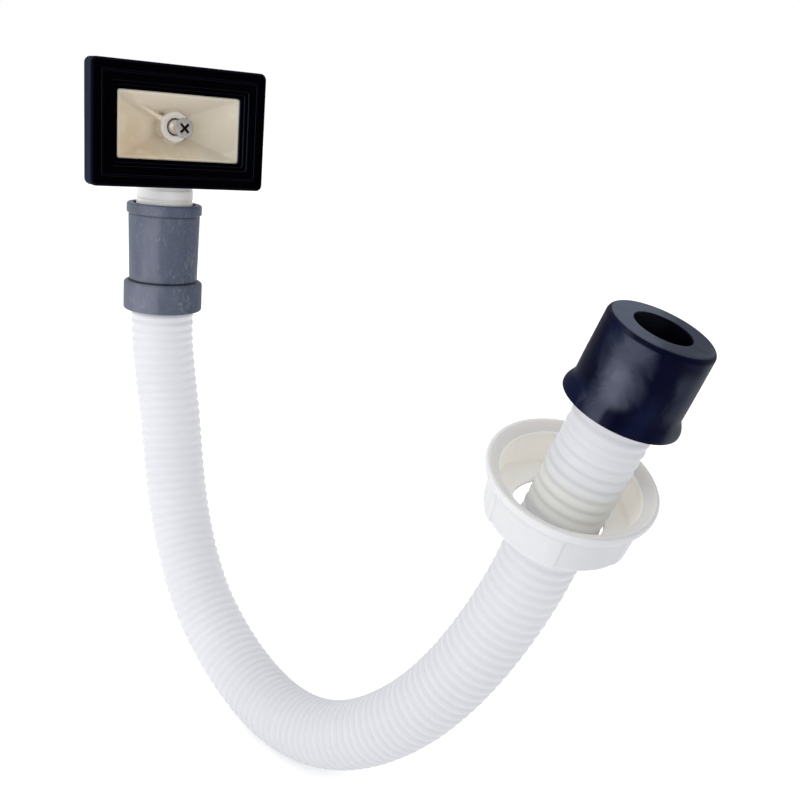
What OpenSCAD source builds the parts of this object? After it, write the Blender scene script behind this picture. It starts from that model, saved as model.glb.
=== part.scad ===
// Kitchen sink overflow set: a rectangular overflow head with its face seal and cover
// screw, a rubber sleeve that turns on the head's neck, a stay-put corrugated hose,
// a loose union nut and a rubber outlet cone.
// Row frame: the origin is the centre of the seal's contact plane, +Y runs back from
// the sink wall into the head, +Z runs up along the neck.

/* [Face seal] */
// Width of the seal along the sink wall
seal_w = 76.5; // [72:0.5:84]
// Height of the seal
seal_h = 49.5; // [47:0.5:58]
// Depth of the seal from its contact plane to its back edge
seal_depth = 9; // [8:0.5:12]
// Outer corner radius of the seal
seal_corner_r = 2.6; // [1.6:0.2:5]
// Bevel of the seal's front edge
seal_edge = 1.1; // [0.4:0.1:1.2]
// Height of the sealing rib above the seal's land
seal_rib_h = 0.35; // [0.2:0.05:0.6]
// Width of the sealing rib
seal_rib_w = 0.9; // [0.6:0.1:1.5]
// Distance of the sealing rib from the seal's edge
seal_rib_inset = 4.1; // [2.5:0.1:4.5]
// Width of each step of the seal's throat
throat_step_w = 1.5; // [0.8:0.1:1.8]
// Depth of each step of the seal's throat
throat_step_d = 0.95; // [0.5:0.05:1.05]

/* [Overflow head] */
// Width of the hopper's mouth lip, measured outside
mouth_w = 54; // [48:0.5:56]
// Height of the hopper's mouth lip, measured outside
mouth_h = 27; // [24:0.5:30]
// Wall of the mouth lip
mouth_lip = 1; // [0.8:0.1:1.5]
// Distance of the mouth lip behind the contact plane
mouth_y = 3; // [2.6:0.1:3.2]
// Front face of the flange behind the contact plane
flange_y = 3.6; // [3.4:0.1:4.2]
// Thickness of the flange that the seal wraps
flange_t = 3; // [2:0.2:4]
// Rubber wall around the flange's edge
flange_cover = 4.2; // [2.5:0.1:4.5]
// Depth of the hopper's cavity behind the mouth lip
cavity_depth = 13; // [11:0.5:14]
// Wall of the hopper
hopper_wall = 2; // [1.6:0.1:2.6]
// Diameter of the screw boss
boss_d = 12.5; // [11:0.5:14]
// Distance of the boss's face behind the contact plane
boss_y = 7.6; // [6:0.2:9]
// Thickness of the boss's full-width face
boss_face_t = 3.5; // [2:0.5:4]
// Wall of the boss's stem around the insert
boss_wall = 1.2; // [1:0.1:1.6]
// Diameter of the hole in the boss
boss_hole_d = 7.2; // [6.8:0.1:8.2]
// Thickness of the web at the mouth's corner
web_t = 1.6; // [1:0.1:2.5]
// Thickness of the web at the boss
web_root_t = 2.2; // [1.5:0.1:3]

/* [Neck] */
// Outside diameter of the neck
neck_d = 23.1; // [22.8:0.1:24.4]
// Bore of the neck
neck_bore_d = 20; // [17:0.1:20.4]
// Front of the drain behind the boss, behind the contact plane
drain_y = 11.6; // [11.2:0.1:12.4]
// Top of the drain below the head's centre
drain_top = 1.5; // [1:0.5:3]
// Distance of the neck's axis behind the contact plane
neck_y = 17.5; // [17.4:0.1:19]
// Height of each ring on the neck
neck_ring_h = 0.4; // [0.3:0.1:0.7]
// Spacing of the rings on the neck
neck_ring_pitch = 4.8; // [4:0.1:5.4]

/* [Cover screw] */
// Thread diameter of the cover screw
screw_d = 6; // [4:0.5:6]
// Diameter of the screw's head
screw_head_d = 8.6; // [8:0.1:9.4]
// Length of the screw
screw_len = 24; // [20:0.5:25]
// Distance of the screw's head out of the boss
screw_out = 9.6; // [7:0.2:11]
// Width of each slot of the cross recess
recess_w = 1.1; // [0.8:0.1:1.3]
// Depth of the cross recess
recess_depth = 2; // [1.2:0.1:2.4]
// Outside diameter of the threaded insert
insert_d = 8.4; // [8.3:0.1:9]
// Length of the threaded insert
insert_len = 8; // [6:0.5:10]

/* [Rubber sleeve] */
// Top of the sleeve below the head's centre
sleeve_top = 32.4; // [32:0.1:35]
// Length of the sleeve
sleeve_len = 46.6; // [46:0.1:50]
// Diameter of the sleeve's top bead
bead_d = 32; // [31.4:0.1:34]
// Height of the top bead
bead_h = 4.3; // [4:0.1:6]
// Diameter of the sleeve below its bead
sleeve_d = 30.3; // [29.6:0.1:31.2]
// Diameter of the collar over the hose's end
collar_d = 33.9; // [32:0.1:34.8]
// Height of the collar
collar_h = 12.5; // [10:0.5:16]
// Length of the hose cuff inside the sleeve
top_cuff_len = 20; // [17:0.5:20]
// Thickness of the stop between the neck and the hose cuff
stop_t = 2; // [1.5:0.1:3]

/* [Hose] */
// Outside diameter of the hose over its ribs
hose_d = 27; // [24:0.5:28]
// Wall of the hose
hose_wall = 1.2; // [1:0.1:1.6]
// Bore of the plain cuffs at the hose's ends
cuff_bore_d = 20.4; // [18:0.1:21]

/* [Union nut] */
// Diameter of the nut's round rim
nut_rim_d = 58.2; // [57.6:0.1:62]
// Height of the nut
nut_h = 18; // [16:0.5:19]
// Thickness of the nut's floor
nut_floor_t = 3; // [2:0.5:4]
// Hole in the nut's floor
nut_hole_d = 31.4; // [31.2:0.1:36]
// Root diameter of the nut's thread
thread_d = 47.8; // [46:0.1:48]
// Height of the thread's ridges
thread_ridge = 1.3; // [0.8:0.1:1.5]
// Pitch of the thread
thread_pitch = 2.3; // [2:0.1:2.6]
// Number of the thread's ridges
thread_turns = 3; // [2:1:4]
// Depth of the lead-in bevel inside the nut's rim
nut_lead = 2.2; // [1:0.1:3]
// Distance across the grip's flats at the nut's floor
grip_flats = 50.2; // [50:0.2:53]
// Turn of the grip's corners about the nut's axis
grip_turn = 46; // [0:1:59]
// Height of the flared band under the nut's rim
nut_band_h = 4; // [3:0.5:5]
// Distance of the nut's floor below the outlet cone's seat, along the hose
nut_drop = 44.4; // [40:0.2:46]
// Sideways offset of the loose nut's floor from the hose's axis, along the end's own X
nut_offset_x = -0.9; // [-1:0.1:0.5]
// Sideways offset of the loose nut's floor from the hose's axis, along the end's own Y
nut_offset_y = 1.2; // [-0.5:0.1:1.3]
// Tilt of the loose nut about the hose end's own X
nut_tilt_x = 2.4; // [-3:0.2:3]
// Tilt of the loose nut about the hose end's own Y
nut_tilt_y = -10.7; // [-11:0.1:5]

/* [Outlet cone] */
// Diameter of the cone's straight side
cone_d = 36; // [34:0.1:37]
// Diameter of the flare at the cone's seat
flare_d = 39.5; // [38:0.1:42]
// Height of the flare
flare_h = 6; // [4:0.5:8]
// Length of the cone
cone_len = 29.3; // [26:0.1:34]
// Radius of the cone's tip edge
cone_edge_r = 1.8; // [1:0.1:2.5]
// Bore of the cone at its tip
outlet_d = 19; // [16:0.1:20]
// Depth of the cone's socket over the hose's cuff
socket_depth = 17; // [14:0.5:20]

/* [Fits] */
// Radial gap between the neck and the sleeve's inner lips
swivel_gap = 0.08; // [0.03:0.01:0.1]
// Radial gap between the screw and its insert
screw_gap = 0.05; // [0.02:0.01:0.1]
// Gap left between parts that must not rub
free_gap = 0.4; // [0.3:0.1:0.8]

/* [Hidden] */
$fn = 96;
cut = 1;

// The hose's centreline from the sleeve's end face to the outlet cone's seat
hose_route = [
    [0, 17.5, -79], [0.3, 17.5, -93], [1.8, 16.6, -110], [3.5, 15, -127], [4.5, 13, -144],
    [5.2, 9.6, -161], [6, 4.3, -178], [6.8, -3.4, -193], [8, -13.6, -207], [10, -26, -218.5],
    [12.3, -40.7, -227.7], [14.6, -56.6, -233.8], [17, -73.5, -236.6], [19.9, -90.5, -235.7],
    [23.5, -106.7, -231], [27.7, -121.3, -222.9], [32.5, -134, -212.4], [37.6, -145, -200],
    [42.5, -154, -186.3], [46.8, -161.8, -171.6], [50.5, -168.6, -156], [52.9, -175, -140.2],
    [54.1, -180, -126.2], [55.7, -186.8, -107.4], [57.4, -193.7, -88.7], [59, -200.5, -70]
];
// First and last point of the stretch that flexes
bend_first = 10;
bend_last = 15;
// Normal of the plane that the hose bends in
bend_axis = [0.964, 0.216, -0.154];
// Lean of the hose's straight end about X, then about Y
end_lean = [20, 5];
hose_sides = 12;
end_seat = hose_route[len(hose_route) - 1];

land_y = seal_rib_h;
flange_w = seal_w - 2 * flange_cover;
flange_h = seal_h - 2 * flange_cover;
flange_r = 1.5;
flange_back = flange_y + flange_t;
cavity_w = mouth_w - 2 * mouth_lip;
cavity_h = mouth_h - 2 * mouth_lip;
cavity_back = mouth_y + cavity_depth;
neck_r = neck_d / 2;
sleeve_end = -sleeve_top - sleeve_len;
cuff_top = sleeve_end + top_cuff_len;
neck_end = cuff_top + stop_t + free_gap;
cuff_r = hose_d / 2 - 0.1;
boss_hole_depth = screw_len - screw_out + 2;
screw_front = boss_y - screw_out;
neck_dome = 7;
bore_top = mouth_h / 2 - 1.5;
boss_stem_d = insert_d + 2 * boss_wall;
insert_y = boss_y + 5;

// An arc of points about a centre
function arc(centre, r, from, to, steps = 8) =
    [for (i = [0:steps]) let (a = from + (to - from) * i / steps)
        [centre[0] + r * cos(a), centre[1] + r * sin(a)]];

module rounded_rect(w, h, r) {
    square([w - 2 * r, h], center = true);
    square([w, h - 2 * r], center = true);
    for (x = [-1, 1], y = [-1, 1])
        translate([x * (w / 2 - r), y * (h / 2 - r)]) circle(r, $fn = 48);
}

// A plate that faces the sink wall, between two depths
module plate(w, h, r, front, back) {
    translate([0, back, 0]) rotate([90, 0, 0])
        linear_extrude(back - front) rounded_rect(w, h, r);
}

// A frame that faces the sink wall, with its inner edge set in by t
module plate_frame(w, h, r, t, front, back) {
    difference() {
        plate(w, h, r, front, back);
        plate(w - 2 * t, h - 2 * t, max(r - t, 0.3), front - cut, back + cut);
    }
}

module at_neck() translate([0, neck_y, 0]) children();
module at_hose_end() translate(end_seat) rotate([end_lean[0], end_lean[1], 0]) children();
module at_boss(y) translate([0, y, 0]) rotate([-90, 0, 0]) children();

// ---- the head ----

module face_seal() color([0.10, 0.11, 0.14])
    difference() {
        union() {
            hull() {
                plate(seal_w - 2 * seal_edge, seal_h - 2 * seal_edge, seal_corner_r - 0.6,
                      land_y, land_y + seal_edge);
                plate(seal_w, seal_h, seal_corner_r, land_y + seal_edge, seal_depth);
            }
            plate_frame(seal_w - 2 * seal_rib_inset, seal_h - 2 * seal_rib_inset, seal_corner_r,
                        seal_rib_w, 0, land_y + seal_rib_h);
        }
        for (step = [1, 2])
            plate(mouth_w + 2 * step * throat_step_w, mouth_h + 2 * step * throat_step_w, 1.2,
                  -cut, land_y + (3 - step) * throat_step_d);
        plate(mouth_w, mouth_h, 1, -cut, flange_y + cut);
        plate(flange_w, flange_h, flange_r, flange_y, flange_back);
        plate(flange_w - 3, flange_h - 3, flange_r, flange_y, seal_depth + cut);
        at_neck() translate([0, 0, -seal_h / 2 - cut])
            cylinder(r = neck_r + free_gap, h = seal_h / 2);
    }

module hopper_shell() hull() {
    plate(cavity_w + 1.2 * hopper_wall, cavity_h + 1.2 * hopper_wall, 2,
          flange_back - 0.5, flange_back);
    plate(9, 7, 2, cavity_back + hopper_wall, cavity_back + hopper_wall + 0.5);
}

module hopper_cavity() hull() {
    plate(cavity_w, cavity_h, 0.5, mouth_y - cut, mouth_y);
    plate(4, 3, 0.5, cavity_back - 0.1, cavity_back);
}

// The neck's bore, and above it the drain under and beside the boss's stem
module water_way() intersection() {
    at_neck() translate([0, 0, neck_end - cut])
        cylinder(d = neck_bore_d, h = -neck_end + cut - drain_top);
    union() {
        translate([-neck_d, 0, neck_end - cut])
            cube([2 * neck_d, 2 * neck_y, -neck_end + cut - bore_top]);
        translate([0, drain_y, -mouth_h]) linear_extrude(mouth_h - drain_top)
            polygon(boss_d / 2 * [[-0.45, 0], [0.77, 0], [1.01, 0.14], [1.15, 0.26],
                                  [1.38, 0.48], [1.68, 0.96], [1.68, 3.2], [-0.64, 3.2],
                                  [-0.64, 0.3]]);
    }
}

module neck_outside() at_neck() {
    translate([0, 0, neck_end]) cylinder(r = neck_r, h = neck_dome - neck_end);
    translate([0, 0, neck_dome]) cylinder(r1 = neck_r, r2 = neck_r - 5, h = 4);
    half = neck_ring_pitch / 2 - 0.3;
    for (i = [1:2])
        translate([0, 0, -seal_h / 2 - neck_ring_pitch * (i - 0.25)]) rotate_extrude()
            polygon([[neck_r - 1, -half], [neck_r, -half], [neck_r + neck_ring_h, 0.3 - half],
                     [neck_r + neck_ring_h, half - 0.3], [neck_r, half], [neck_r - 1, half]]);
}

module boss_web() hull() {
    translate([-cavity_w / 2 + 1.2, mouth_y + 1.6, cavity_h / 2 - 0.9])
        rotate([-90, 0, 0]) cylinder(d = web_t, h = 1, $fn = 32);
    translate([-boss_d / 2 + 0.6, boss_y + 1, boss_d / 4])
        rotate([-90, 0, 0]) cylinder(d = web_root_t, h = cavity_back - boss_y - 1, $fn = 32);
}

module overflow_body() color([0.93, 0.88, 0.76])
    difference() {
        union() {
            difference() {
                union() {
                    plate(flange_w, flange_h, flange_r, flange_y, flange_back);
                    plate(mouth_w, mouth_h, 1, mouth_y, flange_y + cut);
                    hopper_shell();
                    neck_outside();
                }
                hopper_cavity();
                water_way();
            }
            at_boss(boss_y) cylinder(d = boss_d, h = boss_face_t);
            at_boss(boss_y) cylinder(d = boss_stem_d, h = neck_y + neck_r - 1 - boss_y);
            boss_web();
        }
        at_boss(boss_y - cut) cylinder(d = boss_hole_d, h = insert_y - boss_y + 2 * cut);
        at_boss(insert_y) cylinder(d = insert_d, h = boss_y + boss_hole_depth - insert_y);
    }

module boss_insert() color([0.80, 0.66, 0.36])
    at_boss(insert_y) difference() {
        cylinder(d = insert_d, h = insert_len);
        translate([0, 0, -cut]) cylinder(d = screw_d + 2 * screw_gap, h = insert_len + 2 * cut);
    }

module cover_screw() color([0.75, 0.75, 0.76])
    at_boss(screw_front) difference() {
        rotate_extrude() polygon(concat(
            [[0, 0]],
            [for (i = [1:6]) [screw_head_d / 2 * i / 6, 0.9 * pow(i / 6, 2)]],
            [[screw_head_d / 2, 1.2], [screw_d / 2, 1.2 + (screw_head_d - screw_d) / 2],
             [screw_d / 2, screw_len - 0.8], [screw_d / 2 - 0.8, screw_len], [0, screw_len]]));
        for (a = [45, 135]) rotate(a)
            translate([-screw_head_d * 0.29, -recess_w / 2, -cut])
                cube([screw_head_d * 0.58, recess_w, recess_depth + cut]);
    }

// ---- the sleeve ----

module sleeve_outline() {
    top = -sleeve_top;
    bead_low = top - bead_h;
    collar_top = sleeve_end + collar_h;
    inner = neck_r + 0.8;
    lip = neck_r + swivel_gap;
    polygon(concat(
        [[neck_r + 1.8, top]],
        arc([bead_d / 2 - 0.9, top - 0.9], 0.9, 90, 0),
        arc([bead_d / 2 - 0.9, bead_low + 0.9], 0.9, 0, -60),
        [[sleeve_d / 2, bead_low - 0.6], [sleeve_d / 2 - 0.65, collar_top + 1.4]],
        arc([collar_d / 2 - 1.2, collar_top - 1.2], 1.2, 80, 0),
        arc([collar_d / 2 - 0.8, sleeve_end + 0.8], 0.8, 0, -90),
        [[cuff_r, sleeve_end], [cuff_r, cuff_top], [cuff_bore_d / 2, cuff_top],
         [cuff_bore_d / 2, cuff_top + stop_t], [inner, cuff_top + stop_t]],
        [for (i = [0:2], p = [[inner, 0], [lip, 0.8], [lip, 1.8], [inner, 2.6]])
            [p[0], cuff_top + stop_t + 2 + i * 4.2 + p[1]]],
        [[inner, top - 4.6], [neck_r + 1.8, top - 3.6]]));
}

module rubber_sleeve() color([0.45, 0.49, 0.55])
    at_neck() rotate_extrude() sleeve_outline();

// ---- the hose ----

module plain_cuff(length) difference() {
    cylinder(r = cuff_r, h = length);
    translate([0, 0, -cut]) cylinder(d = cuff_bore_d, h = length + 2 * cut);
}

module hose_top_cuff() color([0.86, 0.87, 0.90])
    at_neck() translate([0, 0, sleeve_end]) plain_cuff(top_cuff_len);

module hose_end_cuff() color([0.86, 0.87, 0.90])
    at_hose_end() plain_cuff(socket_depth);

function unit(v) = v / norm(v);
function heading(i) =
    i == 0 ? [0, 0, -1] :
    i == len(hose_route) - 1 ? unit(hose_route[i] - hose_route[i - 1]) :
    unit(hose_route[i + 1] - hose_route[i - 1]);
// One ring of the hose at route point i
function ring(i, r) =
    let (along = heading(i), side = unit(cross(bend_axis, along)), up = cross(along, side))
    [for (k = [0:hose_sides - 1]) let (a = 360 * k / hose_sides)
        hose_route[i] + r * (cos(a) * side + sin(a) * up)];

// A hollow run of the hose between two route points
module hose_run(first, last) {
    n = hose_sides;
    rings = last - first + 1;
    outer = [for (i = [first:last]) each ring(i, hose_d / 2)];
    inner = [for (i = [first:last]) each ring(i, hose_d / 2 - hose_wall)];
    base = n * rings;
    end = n * (rings - 1);
    walls = [for (j = [0:rings - 2], k = [0:n - 1])
        let (a = j * n + k, b = j * n + (k + 1) % n)
        each [[a, b, b + n], [a, b + n, a + n],
              [base + a, base + b + n, base + b], [base + a, base + a + n, base + b + n]]];
    ends = [for (k = [0:n - 1])
        let (a = k, b = (k + 1) % n)
        each [[a, base + b, b], [a, base + a, base + b],
              [end + a, end + b, base + end + b], [end + a, base + end + b, base + end + a]]];
    polyhedron(points = concat(outer, inner), faces = concat(walls, ends), convexity = 6);
}

module hose_upper() color([0.90, 0.91, 0.94]) hose_run(0, bend_first);
module hose_bend() color([0.88, 0.89, 0.93]) hose_run(bend_first, bend_last);
module hose_lower() color([0.90, 0.91, 0.94]) hose_run(bend_last, len(hose_route) - 1);

// ---- the union nut ----

module nut_outside() {
    rim_r = nut_rim_d / 2;
    band_low = nut_h - nut_band_h;
    intersection() {
        rotate_extrude() polygon(concat(
            [[0, 0], [grip_flats / 2 + 0.2, 0], [grip_flats / 2 + 1, 1], [rim_r - 1.9, band_low],
             [rim_r, band_low + 2.2]],
            arc([rim_r - 0.7, nut_h - 0.7], 0.7, -20, 90, 5),
            [[0, nut_h]]));
        union() {
            rotate(grip_turn)
                cylinder(r1 = grip_flats / 2 / cos(30), r2 = (grip_flats / 2 + 2) / cos(30),
                         h = band_low + 1.5, $fn = 6);
            translate([0, 0, band_low]) cylinder(r = rim_r + 1, h = nut_band_h);
        }
    }
}

// Opening of the nut: floor hole, chamber, thread ridges and lead-in bevel
module nut_inside() {
    root_r = thread_d / 2;
    lead_y = nut_h - nut_lead;
    first_turn = lead_y - thread_turns * thread_pitch;
    rotate_extrude() polygon(concat(
        [[0, -cut], [nut_hole_d / 2, -cut], [nut_hole_d / 2, nut_floor_t],
         [root_r - 1.4, nut_floor_t], [root_r, nut_floor_t + 1]],
        [for (i = [0:thread_turns - 1],
              p = [[0, 0.3], [0, 0.8], [-thread_ridge, 1.4], [-thread_ridge, 1.8]])
            [root_r + p[0], first_turn + i * thread_pitch + p[1]]],
        [[root_r, lead_y], [nut_rim_d / 2 - 1.2, nut_h], [nut_rim_d / 2 - 1.2, nut_h + cut],
         [0, nut_h + cut]]));
}

module union_nut() color([0.92, 0.93, 0.95])
    at_hose_end() translate([nut_offset_x, nut_offset_y, -nut_drop])
        rotate([nut_tilt_x, nut_tilt_y, 0]) difference() {
            nut_outside();
            nut_inside();
        }

// ---- the outlet cone ----

module outlet_cone() color([0.16, 0.19, 0.26])
    at_hose_end() rotate_extrude() polygon(concat(
        [[cuff_r, 0], [flare_d / 2 - 0.8, 0]],
        arc([flare_d / 2 - 0.8, 0.8], 0.8, -90, 0, 5),
        [for (i = [1:6]) let (s = i / 6)
            [flare_d / 2 - (flare_d - cone_d) / 2 * s * s * (3 - 2 * s), 0.8 + (flare_h - 0.8) * s]],
        arc([cone_d / 2 - cone_edge_r, cone_len - cone_edge_r], cone_edge_r, 0, 90),
        [[outlet_d / 2, cone_len], [outlet_d / 2, socket_depth], [cuff_r, socket_depth]]));

face_seal();
overflow_body();
boss_insert();
cover_screw();
rubber_sleeve();
hose_top_cuff();
hose_upper();
hose_bend();
hose_lower();
hose_end_cuff();
union_nut();
outlet_cone();
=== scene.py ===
"""Looks of the sink overflow set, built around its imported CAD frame.

Lengths of the shapes are in millimetres, and MM turns them into metres. Lengths in the
materials are in metres, as their coordinates are. Colours are linear red, green and blue.
"""

import math

import bmesh
import bpy
import numpy as np
from mathutils import Matrix, Vector


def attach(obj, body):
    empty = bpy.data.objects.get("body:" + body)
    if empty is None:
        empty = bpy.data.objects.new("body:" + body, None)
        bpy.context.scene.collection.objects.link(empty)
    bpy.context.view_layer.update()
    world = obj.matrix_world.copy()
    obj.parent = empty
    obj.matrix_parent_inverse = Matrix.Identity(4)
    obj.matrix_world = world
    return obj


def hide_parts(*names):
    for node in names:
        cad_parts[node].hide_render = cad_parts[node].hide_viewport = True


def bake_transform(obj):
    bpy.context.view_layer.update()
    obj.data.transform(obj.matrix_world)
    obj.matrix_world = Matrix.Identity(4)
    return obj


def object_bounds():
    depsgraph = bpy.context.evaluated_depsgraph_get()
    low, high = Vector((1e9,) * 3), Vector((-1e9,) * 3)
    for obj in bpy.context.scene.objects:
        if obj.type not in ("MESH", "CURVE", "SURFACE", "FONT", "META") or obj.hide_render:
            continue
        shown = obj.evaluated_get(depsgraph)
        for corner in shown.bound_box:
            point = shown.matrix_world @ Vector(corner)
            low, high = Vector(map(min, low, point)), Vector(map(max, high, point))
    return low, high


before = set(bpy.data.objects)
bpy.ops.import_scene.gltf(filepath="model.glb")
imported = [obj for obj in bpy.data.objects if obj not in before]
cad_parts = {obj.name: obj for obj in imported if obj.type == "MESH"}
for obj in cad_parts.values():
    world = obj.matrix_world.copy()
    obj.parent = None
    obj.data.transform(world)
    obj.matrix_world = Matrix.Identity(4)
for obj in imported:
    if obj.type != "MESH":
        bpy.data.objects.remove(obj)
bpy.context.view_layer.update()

MM = 0.001
TURN = 2 * math.pi
X, Y, Z = (1, 0, 0), (0, 1, 0), (0, 0, 1)

# ---- places that the solids' source names, repeated here ----

# The hose's middle line, from the sleeve's collar to the cone
HOSE_ROUTE = [
    (0, 17.5, -79), (0.3, 17.5, -93), (1.8, 16.6, -110), (3.5, 15, -127), (4.5, 13, -144),
    (5.2, 9.6, -161), (6, 4.3, -178), (6.8, -3.4, -193), (8, -13.6, -207), (10, -26, -218.5),
    (12.3, -40.7, -227.7), (14.6, -56.6, -233.8), (17, -73.5, -236.6), (19.9, -90.5, -235.7),
    (23.5, -106.7, -231), (27.7, -121.3, -222.9), (32.5, -134, -212.4), (37.6, -145, -200),
    (42.5, -154, -186.3), (46.8, -161.8, -171.6), (50.5, -168.6, -156), (52.9, -175, -140.2),
    (54.1, -180, -126.2), (55.7, -186.8, -107.4), (57.4, -193.7, -88.7), (59, -200.5, -70),
]
# The neck's place along Y, which the line's first point shares
NECK_Y = 17.5
# Turns about X and then Y in degrees, of the hose's end and of the loose nut on it
END_LEAN, NUT_TILT = (20, 5), (2.4, -10.7)
NUT_OFFSET = (-0.9, 1.2, -44.4)


def turned(about_x, about_y):
    """Rotation about X, then about Y, in degrees."""
    return (Matrix.Rotation(math.radians(about_y), 4, "Y")
            @ Matrix.Rotation(math.radians(about_x), 4, "X"))


def moved(point):
    """Translation to a point in millimetres."""
    return Matrix.Translation(Vector(point) * MM)


AT_NECK = moved((0, NECK_Y, 0))
AT_HOSE_END = moved(HOSE_ROUTE[-1]) @ turned(*END_LEAN)
AT_NUT = AT_HOSE_END @ moved(NUT_OFFSET) @ turned(*NUT_TILT)


def new_object(name, data):
    """A new object in the scene."""
    obj = bpy.data.objects.new(name, data)
    bpy.context.scene.collection.objects.link(obj)
    return obj


# ---- camera ----

# In metres, with the directions of the picture's right side and top
CAMERA_PLACE = (-0.1755, -0.4003, 0.0097)
CAMERA_RIGHT, CAMERA_UP = (0.8120, -0.5778, 0.0827), (0.0902, 0.2642, 0.9602)
CAMERA_LENS, CAMERA_SENSOR = 45, 36
CAMERA_NEAR, CAMERA_FAR = 0.01, 60


def make_camera():
    """The camera, with its directions made square to each other."""
    right = Vector(CAMERA_RIGHT)
    back = right.cross(Vector(CAMERA_UP)).normalized()
    up = back.cross(right).normalized()
    camera = new_object("camera", bpy.data.cameras.new("camera"))
    turn = Matrix((right.normalized(), up, back)).transposed().to_4x4()
    camera.matrix_world = Matrix.Translation(CAMERA_PLACE) @ turn
    camera.data.sensor_width = CAMERA_SENSOR
    camera.data.lens = CAMERA_LENS
    camera.data.clip_start = CAMERA_NEAR
    camera.data.clip_end = CAMERA_FAR
    bpy.context.scene.camera = camera


make_camera()

# ---- mesh helpers ----

# An arc takes at most this share of a side, and a corner is left as it is when half its
# angle is over FLAT_HALF degrees or its arc would be smaller than TINY
ARC_SHARE, FLAT_HALF, TINY = 0.49, 88, 1e-6


def add_object(name, verts, faces, matrix=None, smooth=True):
    """A new mesh object from points in metres, with its faces turned outward."""
    mesh = bpy.data.meshes.new(name)
    mesh.from_pydata([tuple(v) for v in verts], [], faces)
    work = bmesh.new()
    work.from_mesh(mesh)
    bmesh.ops.recalc_face_normals(work, faces=work.faces)
    work.to_mesh(mesh)
    work.free()
    if smooth:
        mesh.shade_smooth()
    obj = new_object(name, mesh)
    if matrix is not None:
        obj.matrix_world = matrix
    return obj


def grid_faces(rows, columns):
    """Faces of a grid of points that closes on itself both ways."""
    faces = []
    for i in range(rows):
        for j in range(columns):
            a, b = i * columns, ((i + 1) % rows) * columns
            k = (j + 1) % columns
            faces.append((a + j, a + k, b + k, b + j))
    return faces


def corner_arc(here, before, after, radius, steps, support):
    """Points that round one corner, from the ways to the corners before and after it."""
    to_before, to_after = np.linalg.norm(before), np.linalg.norm(after)
    room = min(to_before, to_after)
    if radius <= 0 or room < TINY:
        return [here]
    u, v = before / to_before, after / to_after
    half = math.acos(max(-1, min(1, float(u @ v)))) / 2
    reach = min(radius / math.tan(half), ARC_SHARE * room)
    size = reach * math.tan(half)
    if size < TINY or math.degrees(half) > FLAT_HALF:
        return [here]
    middle = here + (u + v) / np.linalg.norm(u + v) * size / math.sin(half)
    first, last = here + u * reach - middle, here + v * reach - middle
    span = math.acos(max(-1, min(1, float(first @ last) / size ** 2)))
    points = [middle + (math.sin((1 - s / steps) * span) * first
                        + math.sin(s / steps * span) * last) / math.sin(span)
              for s in range(steps + 1)]
    if to_before / 2 > reach + support:
        points.insert(0, here + u * (reach + support))
    if to_after / 2 > reach + support:
        points.append(here + v * (reach + support))
    return points


def rounded(corners, steps=5, support=0.35):
    """A closed outline through corners (x, y, radius), with an arc at each corner.

    A point at the distance support from an arc's ends keeps the shading of the flats flat."""
    out = []
    for i, (x, y, radius) in enumerate(corners):
        here = np.array((x, y), float)
        before = np.array(corners[i - 1][:2], float) - here
        after = np.array(corners[(i + 1) % len(corners)][:2], float) - here
        out += corner_arc(here, before, after, radius, steps, support)
    return out


def even_angles(count):
    """Angles at even steps round a whole turn."""
    return [TURN * i / count for i in range(count)]


def revolved(name, outline, matrix, angles, radius_at=None):
    """A closed outline of (radius, height) in millimetres, turned about its own Z axis.

    radius_at(radius, height, angle) may change the radius of a point."""
    verts = []
    for r, z in outline:
        for a in angles:
            size = radius_at(r, z, a) if radius_at else r
            verts.append((size * math.cos(a) * MM, size * math.sin(a) * MM, z * MM))
    return add_object(name, verts, grid_faces(len(outline), len(angles)), matrix)


def settle(obj):
    """Turns the object's modifiers into its own mesh."""
    graph = bpy.context.evaluated_depsgraph_get()
    graph.update()
    mesh = bpy.data.meshes.new_from_object(obj.evaluated_get(graph))
    obj.modifiers.clear()
    obj.data = mesh


def cut_away(obj, tool):
    """Takes the tool's solid out of obj, and removes the tool."""
    cutter = obj.modifiers.new("cut", "BOOLEAN")
    cutter.operation = "DIFFERENCE"
    cutter.solver = "EXACT"
    cutter.object = tool
    settle(obj)
    bpy.data.objects.remove(tool)


def smooth_by(obj, name, iterations, group=""):
    """Adds a modifier that smooths the object, or one of its vertex groups."""
    smooth = obj.modifiers.new(name, "SMOOTH")
    smooth.factor = 0.5
    smooth.iterations = iterations
    smooth.vertex_group = group


def dress(obj, material, body=None, replaces=()):
    """Gives a piece its material, its body and the solids that it stands for."""
    obj.data.materials.clear()
    obj.data.materials.append(material)
    if body:
        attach(obj, body)
    if replaces:
        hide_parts(*replaces)
    return obj


def smooth_step(t):
    """Rises from 0 to 1 with level ends, as t goes from 0 to 1."""
    t = min(1.0, max(0.0, t))
    return t * t * (3 - 2 * t)


# ---- material helpers ----


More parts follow.
